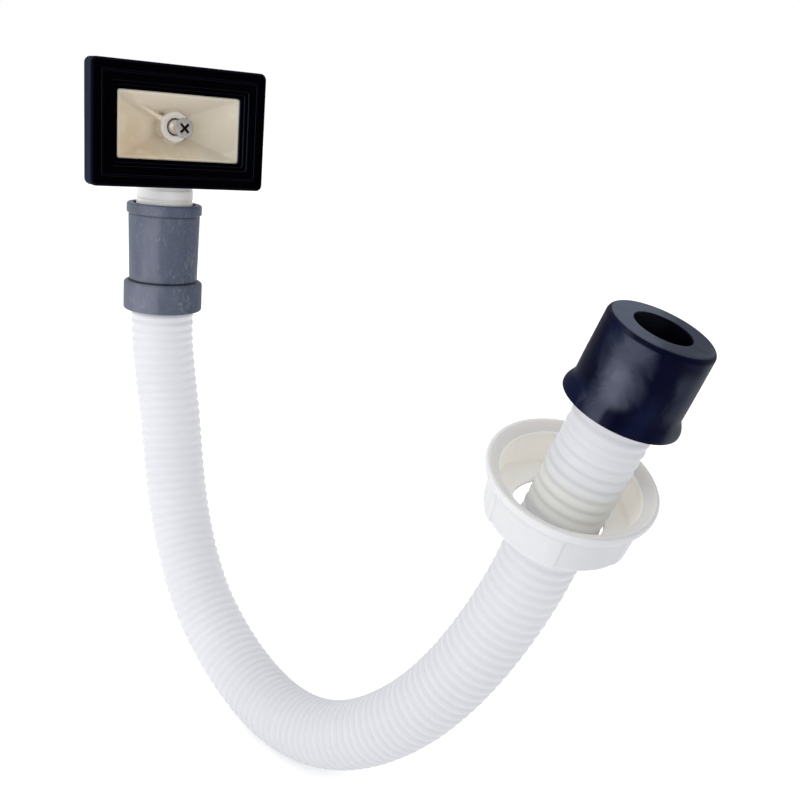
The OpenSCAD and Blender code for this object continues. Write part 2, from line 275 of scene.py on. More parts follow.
class Paint:
    """A small builder of one procedural material, in the object's own coordinates."""

    def __init__(self, name, color, roughness, metallic=0.0, specular=0.5):
        self.material = bpy.data.materials.new(name)
        self.material.use_nodes = True
        self.tree = self.material.node_tree
        self.shader = self.tree.nodes["Principled BSDF"]
        self.constant("Base Color", (*color, 1))
        self.constant("Roughness", roughness)
        self.constant("Metallic", metallic)
        self.constant("Specular IOR Level", specular)
        self.coords = self.node("ShaderNodeTexCoord").outputs["Object"]
        self.relief = None

    def constant(self, socket, value):
        """Sets one of the shader's own sockets to one value."""
        self.shader.inputs[socket].default_value = value

    def node(self, kind, **values):
        made = self.tree.nodes.new(kind)
        for key, value in values.items():
            setattr(made, key, value)
        return made

    def link(self, source, target):
        self.tree.links.new(source, target)

    def stretched(self, scale):
        """The coordinates with each axis scaled, for streaks."""
        mapping = self.node("ShaderNodeMapping")
        self.link(self.coords, mapping.inputs["Vector"])
        mapping.inputs["Scale"].default_value = scale
        return mapping.outputs["Vector"]

    def noise(self, per_metre, detail=4, rough=0.6, stretch=None, distortion=0.0):
        """Noise with so many clouds to a metre, stretched along an axis scaled below 1."""
        made = self.node("ShaderNodeTexNoise")
        self.link(self.stretched(stretch) if stretch else self.coords, made.inputs["Vector"])
        for name, number in (("Scale", per_metre), ("Detail", detail),
                             ("Roughness", rough), ("Distortion", distortion)):
            made.inputs[name].default_value = number
        return made.outputs["Fac"]

    def ramp(self, value, low, high, to_low=0.0, to_high=1.0):
        """Maps low..high of a value to to_low..to_high, smoothly and clamped."""
        made = self.node("ShaderNodeMapRange", interpolation_type="SMOOTHSTEP")
        self.link(value, made.inputs["Value"])
        for name, number in (("From Min", low), ("From Max", high),
                             ("To Min", to_low), ("To Max", to_high)):
            made.inputs[name].default_value = number
        return made.outputs["Result"]

    def combined(self, operation, a, b):
        made = self.node("ShaderNodeMath", operation=operation)
        self.link(a, made.inputs[0])
        self.link(b, made.inputs[1])
        return made.outputs[0]

    def plus(self, a, b):
        return self.combined("ADD", a, b)

    def times(self, a, b):
        return self.combined("MULTIPLY", a, b)

    def band(self, value, rise, fall):
        """High between two soft edges: rise holds a ramp's numbers, fall its low and high."""
        return self.times(self.ramp(value, *rise), self.ramp(value, *fall, 1, 0))

    def along(self, direction, source="Object"):
        """How far a point lies along a direction, or how far its normal faces that way."""
        made = self.node("ShaderNodeVectorMath", operation="DOT_PRODUCT")
        coords = self.node("ShaderNodeTexCoord").outputs[source]
        self.link(coords, made.inputs[0])
        made.inputs[1].default_value = direction
        return made.outputs["Value"]

    def off_axis(self, keep):
        """Distance from the object's axis, with keep as (1, 0, 1) for the Y axis."""
        flat = self.node("ShaderNodeVectorMath", operation="MULTIPLY")
        self.link(self.coords, flat.inputs[0])
        flat.inputs[1].default_value = keep
        length = self.node("ShaderNodeVectorMath", operation="LENGTH")
        self.link(flat.outputs["Vector"], length.inputs[0])
        return length.outputs["Value"]

    def tint(self, factor, color):
        """Mixes a colour over what the base colour is so far, where factor is high."""
        made = self.node("ShaderNodeMix", data_type="RGBA")
        target = self.shader.inputs["Base Color"]
        if target.is_linked:
            self.link(target.links[0].from_socket, made.inputs["A"])
        else:
            made.inputs["A"].default_value = target.default_value
        made.inputs["B"].default_value = (*color, 1)
        self.link(factor, made.inputs["Factor"])
        self.link(made.outputs["Result"], target)

    def rough(self, value):
        self.link(value, self.shader.inputs["Roughness"])

    def bump(self, value, depth):
        """Adds fine relief, depth in metres, on top of the relief so far."""
        made = self.node("ShaderNodeBump")
        made.inputs["Distance"].default_value = depth
        made.inputs["Strength"].default_value = 1
        self.link(value, made.inputs["Height"])
        if self.relief is not None:
            self.link(self.relief, made.inputs["Normal"])
        self.relief = made.outputs["Normal"]
        self.link(self.relief, self.shader.inputs["Normal"])

    def soften(self, weight, depths):
        """Lets some of the light in, to a depth in metres for red, green and blue."""
        self.constant("Subsurface Weight", weight)
        self.constant("Subsurface Radius", depths)
        self.constant("Subsurface Scale", 1.0)

    def glow(self, color, strength):
        self.constant("Emission Color", (*color, 1))
        self.constant("Emission Strength", strength)


# ---- materials ----

# How much of the light goes in, and how deep for red, green and blue
WHITE_SOFT, NUT_SOFT, CREAM_SOFT = 0.12, 0.6, 0.15
WHITE_DEPTHS, CREAM_DEPTHS = (0.004, 0.0032, 0.0026), (0.004, 0.003, 0.002)
# Brightness of the fine marks, as a share of the plastic's own
MARK_SHADE = 0.55


def white_paint(name, color, stain, softness=WHITE_SOFT):
    """Matte moulded plastic with a faint uneven tone and fine grain."""
    paint = Paint(name, color, 0.48, specular=0.4)
    clouds = paint.noise(38, detail=3)
    paint.tint(paint.ramp(clouds, 0.42, 0.72, 0, 0.5), stain)
    marks = paint.noise(420, detail=5, rough=0.7)
    paint.tint(paint.ramp(marks, 0.7, 0.78, 0, 0.22), [MARK_SHADE * c for c in color])
    paint.rough(paint.ramp(clouds, 0.3, 0.7, 0.42, 0.56))
    paint.bump(paint.noise(1600, detail=2), 0.00003)
    paint.soften(softness, WHITE_DEPTHS)
    return paint


HOSE_COLOR, HOSE_STAIN = (0.612, 0.619, 0.652), (0.588, 0.595, 0.622)
# Colours of painted shade past the bend and of painted warm light inside the nut
HOSE_SHADE, HOSE_NUT_LIGHT = (0.565, 0.572, 0.602), (0.610, 0.608, 0.588)
UP_HOSE_END = (0.082, -0.342, 0.936)


def hose_plastic():
    """The hose's plastic, with painted shade past its bend and painted warm light on it inside
    the nut.
    """
    paint = white_paint("hose_plastic", HOSE_COLOR, HOSE_STAIN)
    # Painted shade on the hose past its bend
    paint.tint(paint.ramp(paint.along(Y), -0.035, -0.07), HOSE_SHADE)
    # Painted warm light on the hose inside the nut, for the light that comes through the nut's
    # wall
    nut_light = paint.band(paint.along(UP_HOSE_END), (-0.0365, -0.029), (-0.023, -0.014))
    paint.tint(nut_light, HOSE_NUT_LIGHT)
    return paint.material


# Colour of a painted glow, standing for daylight that has come through the nut's wall
PAINTED_DAYLIGHT = (1, 0.99, 0.955)
NUT_SHADE = (0.485, 0.498, 0.525)
TO_SHADE = (0.643, -0.766, 0)


def nut_plastic(name, color, stain, glow=0.0, shaded=False):
    """The nut's thin soft plastic: a painted glow stands for the daylight that comes through its
    wall and lights its inside.
    """
    paint = white_paint(name, color, stain, NUT_SOFT)
    if shaded:
        paint.tint(paint.ramp(paint.along(TO_SHADE), -0.004, 0.018), NUT_SHADE)
    paint.glow(PAINTED_DAYLIGHT, glow)
    return paint.material


HOSE_WHITE = hose_plastic()
NUT_WHITE = nut_plastic("nut_plastic", (0.57, 0.582, 0.605), (0.55, 0.56, 0.58), shaded=True)
# The nut's plastic again, brighter and glowing as painted light on its inside, and duller as
# painted shade on the bevel inside its rim
NUT_INSIDE_LIT = nut_plastic("nut_inside", (0.72, 0.72, 0.70), (0.68, 0.675, 0.65), glow=0.142)
NUT_BEVEL_SHADED = nut_plastic("nut_bevel_painted_shade", (0.61, 0.61, 0.60), (0.585, 0.585, 0.57), glow=0.01)

IVORY, FLOW_IVORY = (0.62, 0.555, 0.455), (0.58, 0.50, 0.385)
# Painted shade at the hopper's lower left, and pale blotches
HOPPER_LOWER_SHADE, BLOTCH = (0.505, 0.40, 0.265), (0.66, 0.62, 0.54)
# Painted shade at the hopper's right and in its lower right corner
RIGHT_IVORY, CORNER_SHADE_IVORY = (0.485, 0.438, 0.352), (0.43, 0.39, 0.295)
# Painted light deep in the hopper, and the lip's tone
DEEP_LIGHT_IVORY, LIP_IVORY = (0.70, 0.615, 0.485), (0.54, 0.512, 0.455)
UNDER_BOSS, BESIDE_WEB = (0.49, 0.425, 0.315), (0.455, 0.395, 0.305)
OUTSIDE_WHITE, BOSS_WHITE = (0.71, 0.705, 0.69), (0.59, 0.57, 0.55)
NECK_WHITE, NECK_SHADE = (0.76, 0.755, 0.745), (0.635, 0.625, 0.61)


def tone_shade_and_light_hopper(paint, flow):
    """A mottled tone, painted shade at the hopper's lower left, at its right and in its lower
    right corner, and a paler painted light in its depth.
    """
    paint.tint(paint.ramp(flow, 0.42, 0.7, 0, 0.5), FLOW_IVORY)
    # Painted shade at the hopper's lower left, mottled by the flow noise
    stain = paint.ramp(paint.along((-0.8, 0, -1)), -0.006, 0.022)
    paint.tint(paint.times(stain, paint.ramp(flow, 0.3, 0.6, 0.5, 0.95)), HOPPER_LOWER_SHADE)
    right = paint.ramp(paint.along(X), 0.002, 0.016, 0, 0.85)
    low = paint.ramp(paint.along(Z), -0.003, 0.008, 1, 0.72)
    paint.tint(paint.times(right, low), RIGHT_IVORY)
    # Painted shade in the hopper's lower right corner
    corner = paint.ramp(paint.along((0.85, 0, -0.53)), 0.015, 0.026, 0, 0.6)
    paint.tint(corner, CORNER_SHADE_IVORY)
    # Painted light deep in the hopper, left of the boss, lifting the shade there
    deep = paint.times(paint.ramp(paint.along(Y), 0.006, 0.015),
                       paint.ramp(paint.along(X), -0.002, 0.006, 1, 0))
    paint.tint(paint.times(deep, paint.ramp(flow, 0.3, 0.6, 1, 0.8)), DEEP_LIGHT_IVORY)


def shade_hopper(paint, off_boss):
    """Shade below the boss and beside the web, and a paler lip round the mouth."""
    ring = paint.band(off_boss, (0.0062, 0.0075), (0.011, 0.017))
    below = paint.ramp(paint.along((0.25, 0, -1)), -0.004, 0.003, 0, 0.55)
    paint.tint(paint.times(ring, below), UNDER_BOSS)
    crease = paint.band(paint.along((0.447, 0, 0.894)), (-0.0034, -0.0020), (-0.0014, 0.0022))
    from_corner = paint.ramp(paint.along(X), -0.010, -0.020, 0, 0.95)
    paint.tint(paint.times(crease, from_corner), BESIDE_WEB)
    lip = paint.ramp(paint.along(Y), 0.0031, 0.0035, 0.45, 0)
    above_foot = paint.ramp(paint.along(Z), -0.0128, -0.0110, 0.2, 1)
    paint.tint(paint.times(lip, above_foot), LIP_IVORY)


def whiten_outside(paint, flow, off_boss):
    """The whiter plastic of the head's back, its boss and its neck, with painted shade on the
    neck's right.
    """
    outside = paint.plus(paint.ramp(paint.along(Y, "Normal"), 0.15, 0.45),
                         paint.ramp(paint.along(Y), 0.0140, 0.0152))
    paint.tint(paint.ramp(outside, 0, 1), OUTSIDE_WHITE)
    boss = paint.times(paint.ramp(off_boss, 0.0062, 0.0068, 1, 0),
                       paint.ramp(paint.along(Y), 0.0085, 0.0115, 1, 0))
    paint.tint(paint.times(boss, paint.ramp(flow, 0.3, 0.6, 1, 0.75)), BOSS_WHITE)
    neck = paint.ramp(paint.along(Z), -0.021, -0.017, 1, 0)
    paint.tint(neck, NECK_WHITE)
    shaded = paint.ramp(paint.along((0.91, -0.41, 0)), -0.0065, 0.002)
    paint.tint(paint.times(neck, shaded), NECK_SHADE)


def cream_plastic():
    """Moulded plastic: ivory in the hopper with a mottled tone and painted shade and light,
    whiter at its boss and outside.
    """
    paint = Paint("head_plastic", IVORY, 0.42, specular=0.4)
    flow = paint.noise(55, detail=3, distortion=1.2)
    off_boss = paint.off_axis((1, 0, 1))
    tone_shade_and_light_hopper(paint, flow)
    shade_hopper(paint, off_boss)
    paint.tint(paint.ramp(paint.noise(140, detail=4), 0.56, 0.72, 0, 0.3), BLOTCH)
    whiten_outside(paint, flow, off_boss)
    paint.rough(paint.ramp(flow, 0.3, 0.7, 0.36, 0.52))
    paint.bump(paint.noise(900, detail=3), 0.00004)
    paint.soften(CREAM_SOFT, CREAM_DEPTHS)
    return paint.material


SEAL_BLACK, SEAL_DUST = (0.0002, 0.0002, 0.0007), (0.004, 0.004, 0.008)
# Painted blue light on the seal's sides and edges
SEAL_SIDE_LIGHT = (0.016, 0.019, 0.036)


def black_rubber():
    """Near-black moulded rubber, with a faint blue painted light on every edge and side."""
    paint = Paint("seal_rubber", SEAL_BLACK, 0.6, specular=0.005)
    dust = paint.noise(260, detail=6, rough=0.75)
    paint.tint(paint.ramp(dust, 0.62, 0.82, 0, 0.3), SEAL_DUST)
    # Painted blue light on the sides and edges that do not face the front
    sides = paint.ramp(paint.along(Y, "Normal"), -0.9, -0.2)
    paint.tint(paint.times(sides, paint.ramp(dust, 0.25, 0.7, 0.75, 1)), SEAL_SIDE_LIGHT)
    paint.rough(paint.ramp(paint.noise(90), 0.3, 0.7, 0.5, 0.68))
    paint.bump(paint.noise(2200, detail=3), 0.00005)
    return paint.material


SLATE, PALE_SLATE = (0.058, 0.071, 0.106), (0.082, 0.094, 0.132)
# Painted shade on the right, and painted sheen on the left of the front
RIGHT_SHADE_SLATE, SHEEN_SLATE = (0.042, 0.053, 0.084), (0.130, 0.137, 0.182)
SCUFF, GRAIN = (0.22, 0.24, 0.29), (0.115, 0.13, 0.17)
# A pale speck, and the colour of painted shade in the creases
SPECK, CREASE_SHADE = (0.36, 0.38, 0.43), (0.008, 0.010, 0.020)
# Bottom, top, reach from the axis and darkness of the painted shade in the sleeve's creases
SLEEVE_CREASE_SHADES = ((-0.0668, -0.0658, 0.0152, 0.9), (-0.0375, -0.0370, 0.0154, 0.4),
                  (-0.0372, -0.0328, 0.0138, 1.0))
CREASE_FADE, REACH_FADE = 0.0004, 0.0002


def dust_shade_and_sheen_sleeve(paint):
    """Cloudy dust, painted shade on the right side and a painted sheen on the left of the front.
    """
    clouds = paint.noise(60, detail=3, distortion=0.4)
    paint.tint(paint.ramp(clouds, 0.4, 0.68, 0, 0.6), PALE_SLATE)
    across = paint.along((0.92, -0.39, 0))
    # Painted shade on the sleeve's right side
    paint.tint(paint.ramp(across, 0.004, 0.013), RIGHT_SHADE_SLATE)
    smudge = paint.noise(110, detail=4, rough=0.6, stretch=(1, 1, 0.4), distortion=0.8)
    # Painted sheen on the left of the front, mottled by the smudge noise
    wavy = paint.plus(across, paint.ramp(smudge, 0.3, 0.7, -0.0022, 0.0022))
    sheen = paint.band(wavy, (-0.0140, -0.0085, 0.35, 1), (-0.0050, 0.0014))
    paint.tint(paint.times(sheen, paint.ramp(smudge, 0.3, 0.62, 0.65, 1)), SHEEN_SLATE)
    paint.rough(paint.ramp(clouds, 0.3, 0.7, 0.5, 0.66))


def sleeve_rubber():
    """Slate-grey rubber, paler where it is dusty and scuffed, with painted sheen and shade on
    its front and painted shade in its creases.
    """
    paint = Paint("sleeve_rubber", SLATE, 0.55, specular=0.25)
    dust_shade_and_sheen_sleeve(paint)
    scuffs = paint.noise(380, detail=5, rough=0.7, stretch=(1, 1, 0.5), distortion=1.0)
    patches = paint.ramp(paint.noise(70, detail=3), 0.42, 0.6)
    paint.tint(paint.times(paint.ramp(scuffs, 0.5, 0.7, 0, 0.5), patches), SCUFF)
    grain = paint.noise(750, detail=4, rough=0.7)
    paint.tint(paint.ramp(grain, 0.45, 0.7, 0, 0.3), GRAIN)
    paint.tint(paint.ramp(grain, 0.69, 0.77, 0, 0.3), SPECK)
    up = paint.along(Z)
    outward = paint.off_axis((1, 1, 0))
    # Painted shade in the sleeve's creases
    for low, high, limit, dark in SLEEVE_CREASE_SHADES:
        crease = paint.band(up, (low - CREASE_FADE, low), (high, high + CREASE_FADE))
        inner = paint.ramp(outward, limit, limit + REACH_FADE, dark, 0)
        paint.tint(paint.times(crease, inner), CREASE_SHADE)
    paint.bump(paint.noise(1500, detail=4), 0.00006)
    paint.bump(scuffs, 0.00003)
    return paint.material


CONE_BLACK, CONE_CLOUD = (0.0006, 0.001, 0.0105), (0.0045, 0.0075, 0.030)
CONE_VEIL, CONE_SMEAR = (0.036, 0.041, 0.064), (0.094, 0.100, 0.138)
CONE_EDGE, CONE_RIGHT = (0.017, 0.021, 0.037), (0.046, 0.050, 0.064)
CONE_CORNER, CONE_DUST = (0.0006, 0.001, 0.009), (0.069, 0.082, 0.117)
# Painted shade in the cone's bore
BORE_SHADE = (0.0004, 0.0004, 0.0006)


def smear_cone(paint, across, up, wisps):
    """A soft smear down the cone's front, with a veil round it, and dust at its right."""
    wavy = paint.plus(across, paint.ramp(wisps, 0.3, 0.7, -0.0016, 0.0016))
    # The bottom end of the smear climbs from left to right
    foot = paint.ramp(paint.along((-0.22, 0.27, 1)), 0.0050, 0.0105)
    foot = paint.ramp(paint.plus(foot, paint.ramp(across, -0.0035, -0.0060)), 0, 1)
    veil = paint.band(wavy, (-0.0135, -0.0080), (-0.0036, 0.0036))
    paint.tint(paint.times(veil, foot), CONE_VEIL)
    smear = paint.band(wavy, (-0.0105, -0.0068), (-0.0058, -0.0018))
    smear = paint.times(smear, paint.ramp(up, 0.0165, 0.0215, 1, 0.2))
    smear = paint.times(smear, paint.ramp(up, 0.0045, 0.0100, 0.1, 1))
    paint.tint(paint.times(smear, paint.ramp(wisps, 0.36, 0.58, 0.6, 1)), CONE_SMEAR)
    edge = paint.times(paint.ramp(wavy, 0.0090, 0.0125), paint.ramp(up, 0.005, 0.010))
    edge = paint.times(edge, paint.ramp(up, 0.0205, 0.0262, 1, 0.1))
    paint.tint(paint.times(edge, paint.ramp(wisps, 0.35, 0.6, 0.5, 1)), CONE_EDGE)
    paint.tint(paint.ramp(across, 0.0138, 0.0172, 0, 0.9), CONE_RIGHT)


def dust_and_shade_cone_tip(paint, across, up):
    """A dark rounded corner, release dust on the tip's face and painted shade in the bore."""
    facing = paint.along(Z, "Normal")
    corner = paint.band(facing, (0.05, 0.3), (0.8, 0.93))
    corner = paint.times(corner, paint.ramp(up, 0.024, 0.026))
    corner = paint.times(corner, paint.ramp(across, -0.012, -0.006, 0.3, 0.95))
    paint.tint(corner, CONE_CORNER)
    dust = paint.ramp(across, -0.012, 0.006, 0.95, 0.36)
    paint.tint(paint.times(paint.ramp(facing, 0.86, 0.98), dust), CONE_DUST)
    # Painted shade in the bore
    paint.tint(paint.ramp(paint.off_axis((1, 1, 0)), 0.0094, 0.0098, 1, 0), BORE_SHADE)


def cone_rubber():
    """Blue-black rubber, with release dust on its tip, a soft smear down its side and painted
    shade in its bore.
    """
    paint = Paint("cone_rubber", CONE_BLACK, 0.42, specular=0.03)
    cloud = paint.noise(52, detail=3, rough=0.5, distortion=0.5)
    paint.tint(paint.ramp(cloud, 0.42, 0.6, 0, 0.55), CONE_CLOUD)
    across, up = paint.along((0.62, -0.78, 0)), paint.along(Z)
    wisps = paint.noise(75, detail=4, rough=0.55, distortion=1.0)
    smear_cone(paint, across, up, wisps)
    dust_and_shade_cone_tip(paint, across, up)
    paint.rough(paint.ramp(wisps, 0.35, 0.7, 0.45, 0.6))
    paint.bump(paint.noise(1800, detail=3), 0.00004)
    return paint.material


STEEL, TURNED_STEEL, SHANK_STEEL = (0.335, 0.318, 0.305), (0.20, 0.19, 0.18), (0.74, 0.71, 0.66)
# The recess's painted shade and its paler mottle
RECESS_SHADE, PALE_RECESS_SHADE = (0.012, 0.010, 0.009), (0.05, 0.045, 0.04)
BRASS, DULL_BRASS = (0.70, 0.52, 0.25), (0.48, 0.34, 0.15)


def screw_steel():
    """Satin stainless steel with fine turning marks, brighter on the shank."""
    paint = Paint("screw_steel", STEEL, 0.36, metallic=1.0)
    turning = paint.noise(1400, detail=4, stretch=(1, 1, 0.1))
    paint.tint(paint.ramp(turning, 0.46, 0.66, 0, 0.75), TURNED_STEEL)
    paint.tint(paint.ramp(paint.along(Z), 0.0026, 0.0034), SHANK_STEEL)
    paint.rough(paint.ramp(turning, 0.3, 0.7, 0.26, 0.46))
    paint.bump(turning, 0.00002)
    return paint.material


def dark_recess():
    """Painted shade on the inside of the screw's recess, with a faint paler mottle in it."""
    paint = Paint("recess_painted_shade", RECESS_SHADE, 0.7, specular=0.2)
    paint.tint(paint.ramp(paint.noise(900), 0.5, 0.75, 0, 0.5), PALE_RECESS_SHADE)
    return paint.material


def brass():
    """Turned brass, a little dull."""
    paint = Paint("insert_brass", BRASS, 0.35, metallic=1.0)
    dull = paint.noise(500, detail=4)
    paint.tint(paint.ramp(dull, 0.5, 0.7, 0, 0.6), DULL_BRASS)
    paint.rough(paint.ramp(dull, 0.3, 0.7, 0.3, 0.5))
    paint.bump(paint.noise(1400, stretch=(1, 0.1, 1)), 0.00002)
    return paint.material


# ---- the hose: one ribbed tube that bends between the two hose bodies ----

HOSE_D, HOSE_WALL = 27.0, 0.9
# Rows of points to a rib, and points round the hose
RIB_ROWS, HOSE_SIDES = 10, 64
# A power below 1 broadens the ribs' crests
CREST_POWER = 0.7
# Rib pitch and rib depth along the hose: it is stretched more at its ends
RIB_PLACES = (0, 165, 205, 275, 310, 345, 434)
RIB_PITCHES = (3.96, 3.96, 3.68, 3.52, 3.7, 4.1, 4.1)
RIB_DEPTHS = (0.68, 0.62, 0.7, 0.82, 0.84, 0.76, 0.6)
# How far above the route's first point the curve is aimed from, so that it starts straight
COLLAR_LEAD = 14.0
# Steps to a piece of the curve, and places at which ribs are counted
SPLINE_STEPS, PLACE_STEPS = 40, 4000


def spline_piece(p0, p1, p2, p3):
    """Points of a smooth curve from p1 up to p2, from the points before and after them."""
    t0, t1, t2, t3 = 0.0, *np.cumsum([np.linalg.norm(b - a) ** 0.5 for a, b in
                                      ((p0, p1), (p1, p2), (p2, p3))])
    points = []
    for t in np.linspace(t1, t2, SPLINE_STEPS, endpoint=False):
        a1 = ((t1 - t) * p0 + (t - t0) * p1) / (t1 - t0)
        a2 = ((t2 - t) * p1 + (t - t1) * p2) / (t2 - t1)
        a3 = ((t3 - t) * p2 + (t - t2) * p3) / (t3 - t2)
        b1 = ((t2 - t) * a1 + (t - t0) * a2) / (t2 - t0)
        b2 = ((t3 - t) * a2 + (t - t1) * a3) / (t3 - t1)
        points.append(((t2 - t) * b1 + (t - t1) * b2) / (t2 - t1))
    return points


def route_curve(places_at):
    """Points along a smooth line through the route, its directions and its length.

    places_at(length) gives how far along the line each point lies."""
    knots = np.array(HOSE_ROUTE, float)
    padded = np.vstack([knots[0] + (0, 0, COLLAR_LEAD), knots, 2 * knots[-1] - knots[-2]])
    dense = [point for i in range(len(knots) - 1) for point in spline_piece(*padded[i:i + 4])]
    dense = np.array(dense + [knots[-1]])
    along = np.concatenate([[0], np.cumsum(np.linalg.norm(np.diff(dense, axis=0), axis=1))])
    places = places_at(along[-1])
    points = np.stack([np.interp(places, along, dense[:, k]) for k in range(3)], axis=1)
    headings = np.gradient(points, places, axis=0)
    headings /= np.linalg.norm(headings, axis=1)[:, None]
    return points, headings, along[-1]


def carried_frames(headings):
    """Two directions across each heading, carried along the line without twist."""
    side = np.array([1.0, 0, 0])
    sides = []
    for heading in headings:
        side = side - heading * (side @ heading)
        side = side / np.linalg.norm(side)
        sides.append(side)
    sides = np.array(sides)
    return sides, np.cross(headings, sides)


def rib_places(length):
    """Places along the hose at even steps of its ribs, RIB_ROWS to each rib."""
    fine = np.linspace(0, length, PLACE_STEPS)
    ribs = np.concatenate([[0], np.cumsum(np.diff(fine) / np.interp(
        (fine[1:] + fine[:-1]) / 2, RIB_PLACES, RIB_PITCHES))])
    count = int(round(ribs[-1]))
    return np.interp(np.linspace(0, ribs[-1], count * RIB_ROWS + 1), ribs, fine)


def rib_height(phase):
    """Height of the rib from 0 to 1 over one pitch: a broad round crest, a narrow groove."""
    return (0.5 - 0.5 * math.cos(TURN * phase)) ** CREST_POWER


def make_hose():
    """A closed tube, down its ribbed outside and back up its inside, and its middle line."""
    points, headings, length = route_curve(rib_places)
    sides, ups = carried_frames(headings)
    rows = len(points)
    depths = np.interp(rib_places(length), RIB_PLACES, RIB_DEPTHS)
    outside = [HOSE_D / 2 - depths[i] * (1 - rib_height(i / RIB_ROWS)) for i in range(rows)]
    inside = [r - HOSE_WALL for r in outside]
    order = list(range(rows)) + list(range(rows - 1, -1, -1))
    angles = np.array(even_angles(HOSE_SIDES))
    verts = []
    for i, r in zip(order, outside + inside[::-1]):
        ring = (points[i] + r * (np.cos(angles)[:, None] * sides[i]
                                 + np.sin(angles)[:, None] * ups[i]))
        verts.extend(ring * MM)
    hose = add_object("hose_ribbed", verts, grid_faces(2 * rows, HOSE_SIDES))
    dress(hose, HOSE_WHITE,
          replaces=("hose_upper", "hose_bend", "hose_lower"))
    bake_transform(hose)
    return hose, points * MM, length * MM


hose, hose_path, hose_length = make_hose()

# ---- the rubber sleeve ----

SLEEVE_TOP, SLEEVE_END, COLLAR_H = -32.4, -79.0, 12.5
# Outside radii: the bead, just below it, the body's top and foot
BEAD_R, UNDER_BEAD_R, BODY_TOP_R, BODY_LOW_R = 16, 15.1, 15.2, 14.65
GROOVE_R, COLLAR_R = 14.25, 16.95
# Inside radii: mouth, bore, the lip that runs on the neck, the stop, the cuff's seat
MOUTH_R, BORE_R, LIP_R, STOP_R, CUFF_R = 13.35, 12.35, 11.63, 10.2, 13.4
# Depths from the sleeve's end
CUFF_DEPTH, STOP_DEPTH = 20, 22
# The mould line, on the outside only and short of the ends: direction, half width, height
MOULD_LINE, LINE_HALF, LINE_H = math.radians(-72), math.radians(1.2), 0.16
LINE_FROM_R, LINE_END_GAP = 14.3, 0.8
# Points beside the line, in degrees, and the gap to other points, in radians
LINE_DEGREES, LINE_CLEAR = (-2.4, -1.5, -0.8, 0, 0.8, 1.5, 2.4), 0.02
# Points round the sleeve, and the least height of a tall row's pieces
SLEEVE_SIDES, SPLIT_H = 112, 6


def apart(a, b):
    """Angle between two directions, either way."""
    return abs((a - b + math.pi) % TURN - math.pi)


def mould_line_angles(count):
    """Even angles, with a few more at the mould line."""
    extra = [MOULD_LINE + math.radians(d) for d in LINE_DEGREES]
    kept = [a for a in even_angles(count) if min(apart(a, e) for e in extra) > LINE_CLEAR]
    return sorted(kept + [e % TURN for e in extra])


def with_mould_line(r, z, a):
    """A low ridge on the sleeve's outside, where the mould's halves met."""
    if r < LINE_FROM_R or not SLEEVE_END + LINE_END_GAP < z < SLEEVE_TOP - LINE_END_GAP:
        return r
    return r + LINE_H * max(0.0, 1 - apart(a, MOULD_LINE) / LINE_HALF)


def sleeve_outline():
    """Section of the sleeve, down its outside and back up its inside."""
    collar_top = SLEEVE_END + COLLAR_H
    outline = rounded([
        (MOUTH_R, SLEEVE_TOP, 0.5), (BEAD_R, SLEEVE_TOP, 1.2), (BEAD_R, SLEEVE_TOP - 4.3, 1.2),
        (UNDER_BEAD_R, SLEEVE_TOP - 4.8, 0.2), (BODY_TOP_R, SLEEVE_TOP - 5.6, 0.3),
        (BODY_LOW_R, collar_top + 1.1, 0.4), (GROOVE_R, collar_top + 0.4, 0.3),
        (COLLAR_R, collar_top, 1.3), (COLLAR_R, SLEEVE_END, 1.0), (CUFF_R, SLEEVE_END, 0.3),
        (CUFF_R, SLEEVE_END + CUFF_DEPTH, 0), (STOP_R, SLEEVE_END + CUFF_DEPTH, 0),
        (STOP_R, SLEEVE_END + STOP_DEPTH, 0.2), (BORE_R, SLEEVE_END + STOP_DEPTH, 0),
        (BORE_R, SLEEVE_TOP - 18, 0), (LIP_R, SLEEVE_TOP - 17, 0.3),
        (LIP_R, SLEEVE_TOP - 15.6, 0.3), (BORE_R, SLEEVE_TOP - 14.8, 0),
        (BORE_R, SLEEVE_TOP - 4.6, 0.3), (MOUTH_R, SLEEVE_TOP - 3.6, 0.3)])
    fine = []
    for (r0, z0), (r1, z1) in zip(outline, outline[1:] + outline[:1]):
        pieces = max(1, int(abs(z1 - z0) // SPLIT_H))
        fine += [(r0 + (r1 - r0) * k / pieces, z0 + (z1 - z0) * k / pieces)
                 for k in range(pieces)]
    return fine


def make_sleeve():
    """The sleeve, with its mould line."""
    sleeve = revolved("sleeve_moulding", sleeve_outline(), AT_NECK,
                      mould_line_angles(SLEEVE_SIDES), with_mould_line)
    dress(sleeve, sleeve_rubber(), "hose_top", ["rubber_sleeve"])


make_sleeve()

# ---- the outlet cone ----

CONE_D, TIP_D, CONE_LEN, CONE_FOOT = 36.0, 35.5, 29.3, 0.4
FLARE_D, FLARE_LOW, FLARE_H, FLARE_STEPS = 39.5, 1.3, 6.0, 12
# The tip's hole, the wider socket behind it, and where the side begins to taper
TIP_BORE_R, SOCKET_R, SOCKET_DEPTH, TAPER_Z = 9.5, 13.4, 17, 12
# Heights of two rows on the straight side, and points round the cone
CONE_ROWS, CONE_SIDES = (7.5, 9.5), 112


